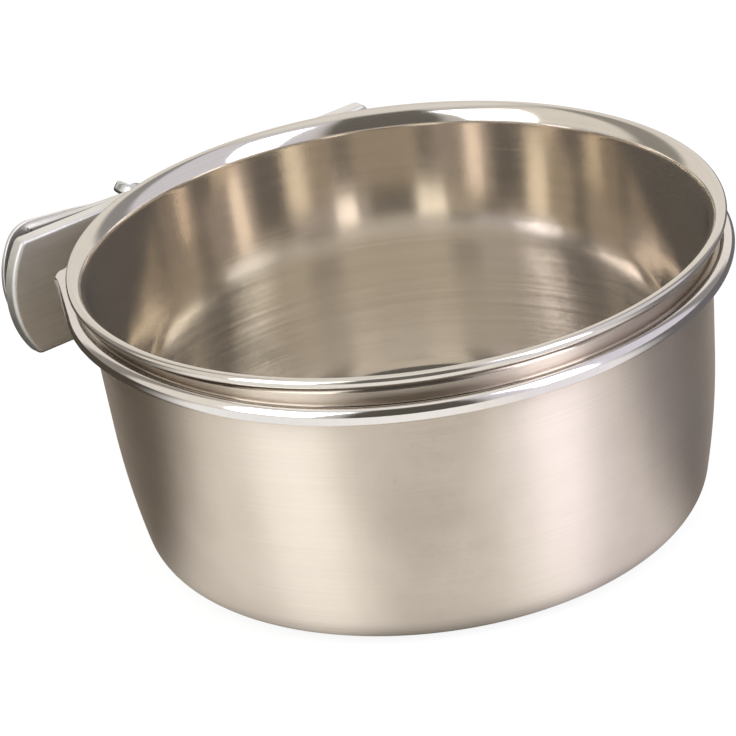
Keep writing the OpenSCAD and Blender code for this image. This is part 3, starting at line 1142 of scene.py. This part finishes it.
# Painted pools of light and shadow on the floor round the cup, as the metal sees it
paintedFloorPools = [
    # turn low and high, soft edge, strength, tone
    (-180, -76, 30, 0.08, (1.0, 0.86, 0.70)),
    (68, 180, 30, 0.17, (0.97, 0.94, 1.0)),
    (-66, -30, 20, 1.0, (0.96, 0.98, 1.0)),
    (28, 60, 16, 1.0, (0.93, 0.925, 1.0)),
]

# Windows round the cup, from the camera's side
windows = [
    # turn low and high, height low and high, soft edge, strength, tone
    (-180, -132, -10, 60, 14, 0.85, (1.0, 0.97, 0.93)),
    (132, 180, -10, 60, 14, 0.88, (1.0, 0.97, 0.94)),
    (-132, -100, -10, 60, 10, 0.30, (1.0, 0.95, 0.88)),
    (104, 132, -10, 60, 10, 0.30, (0.98, 0.96, 1.0)),
    (-104, -58, 4, 60, 10, 0.85, (1.0, 0.96, 0.90)),
    (24, 108, 0, 62, 9, 0.80, (0.95, 0.94, 1.08)),
    (-24, 20, -10, 72, 7, 0.10, (1.0, 0.92, 0.80)),
    (-180, 180, 66, 100, 10, 0.90, (1.0, 0.985, 0.97)),
]

# Two soft boxes, turned to the cup
softBoxes = [
    # turn, height, width, length, watts, tone
    (-47, 32, 0.72, 1.30, 7.6, (0.90, 0.95, 1.0)),
    (49, 32, 0.55, 1.30, 7.6, (0.87, 0.89, 1.0)),
]
boxDistance = 1.4


def turnAndHeight(tree, direction):
    # Degrees round the cup from the camera's side, and degrees above the floor
    turn = photoCamera["azimuth"]
    axes = ((math.sin(turn), -math.cos(turn), 0), (math.cos(turn), math.sin(turn), 0), (0, 0, 1))
    parts = []
    for axis in axes:
        dot = addNode(tree, "ShaderNodeVectorMath", operation="DOT_PRODUCT")
        join(tree, direction, dot.inputs[0])
        dot.inputs[1].default_value = axis
        parts.append(dot.outputs["Value"])
    around = mathNode(tree, "DEGREES", mathNode(tree, "ARCTAN2", parts[1], parts[0]))
    return around, mathNode(tree, "DEGREES", mathNode(tree, "ARCSINE", parts[2]))


def spread(tree, value, start, stop, soft):
    # 1 from start to stop, with soft ends, but none at the back, where the turns meet
    reach = soft / 2
    rising = 1 if start <= -180 else mapped(tree, value, start - reach, start + reach, 0, 1, True)
    falling = 1 if stop >= 180 else mapped(tree, value, stop - reach, stop + reach, 1, 0, True)
    return times(tree, rising, falling)


def lightWorld(sizes, patches):
    world = bpy.data.worlds.new("softStudio")
    bpy.context.scene.world = world
    tree = emptyTree(world)
    around, height = turnAndHeight(tree, coordinate(tree, "Generated"))
    tone = (sizes["ambient"],) * 3
    for low, high, bottom, top, soft, strength, tint in patches:
        share = times(tree, spread(tree, around, low, high, soft),
                      spread(tree, height, bottom, top, soft))
        tone = mixTones(tree, share, tone, tuple(strength * c for c in tint))
    endTree(tree, "ShaderNodeOutputWorld", wired(tree, "ShaderNodeBackground", {"Color": tone}))


def plainShader(tree, tone):
    return wired(tree, "ShaderNodeBsdfDiffuse", {"Color": (*tone, 1)})


def floorForMetal(tree, sizes, paintedPools):
    # Painted light and shadow on the floor, as the metal sees it: the pools round the cup, and the shade
    # at the cup's heel
    place = coordinate(tree, "Object")
    around = turnAndHeight(tree, place)[0]
    tone = (sizes["floorBase"],) * 3
    for low, high, soft, strength, tint in paintedPools:
        share = spread(tree, around, low, high, soft)
        tone = mixTones(tree, share, tone, tuple(strength * c for c in tint))
    away = addNode(tree, "ShaderNodeVectorMath", operation="LENGTH")
    join(tree, place, away.inputs[0])
    shade = mapped(tree, away.outputs["Value"], *sizes["heelShade"], sizes["heelTone"], 1, True)
    light = mixTones(tree, 1, tone, shade, "MULTIPLY")
    return wired(tree, "ShaderNodeEmission", {"Color": light})


def floorMaterial(sizes, paintedPools):
    material = bpy.data.materials.new("paleFloor")
    tree = emptyTree(material)
    kept = plainShader(tree, tuple(c * sizes["floorKept"] for c in sizes["floorTone"]))
    lift = wired(tree, "ShaderNodeEmission", {"Strength": sizes["floorLift"]})
    white = wired(tree, "ShaderNodeAddShader", {0: kept, 1: lift})
    path = addNode(tree, "ShaderNodeLightPath").outputs
    seen = mathNode(tree, "MAXIMUM", path["Is Camera Ray"], path["Is Transmission Ray"])
    plain = plainShader(tree, sizes["floorTone"])
    surface = wired(tree, "ShaderNodeMixShader", {0: seen, 1: plain, 2: white})
    metalSees = floorForMetal(tree, sizes, paintedPools)
    surface = wired(tree, "ShaderNodeMixShader", {0: path["Is Glossy Ray"], 1: surface, 2: metalSees})
    endTree(tree, "ShaderNodeOutputMaterial", surface)
    return material


def layFloor(sizes, paintedPools):
    half, z = sizes["floorSize"] / 2, -sizes["floorBelow"]
    corners = [(-half, -half, z), (half, -half, z), (half, half, z), (-half, half, z)]
    mesh = bpy.data.meshes.new("studioFloor")
    mesh.from_pydata(corners, [], [(0, 1, 2, 3)])
    mesh.materials.append(floorMaterial(sizes, paintedPools))
    addObject("studioFloor", mesh)


def hangBoxes(boxes, distance):
    for turn, height, width, length, watts, tint in boxes:
        around = photoCamera["azimuth"] + math.radians(turn)
        away = outwards(around, math.radians(height))
        side = Vector((math.cos(around), math.sin(around), 0))
        data = bpy.data.lights.new("softBox", "AREA")
        data.shape = "RECTANGLE"
        data.size, data.size_y = width, length
        data.energy = watts
        data.color = tint
        placeFacing(addObject("softBox", data), away * distance, side, away.cross(side), away)


hangBoxes(softBoxes, boxDistance)
lightWorld(studio, windows)
layFloor(studio, paintedFloorPools)
bpy.context.scene.view_settings.view_transform = "Standard"
print("studio lit")
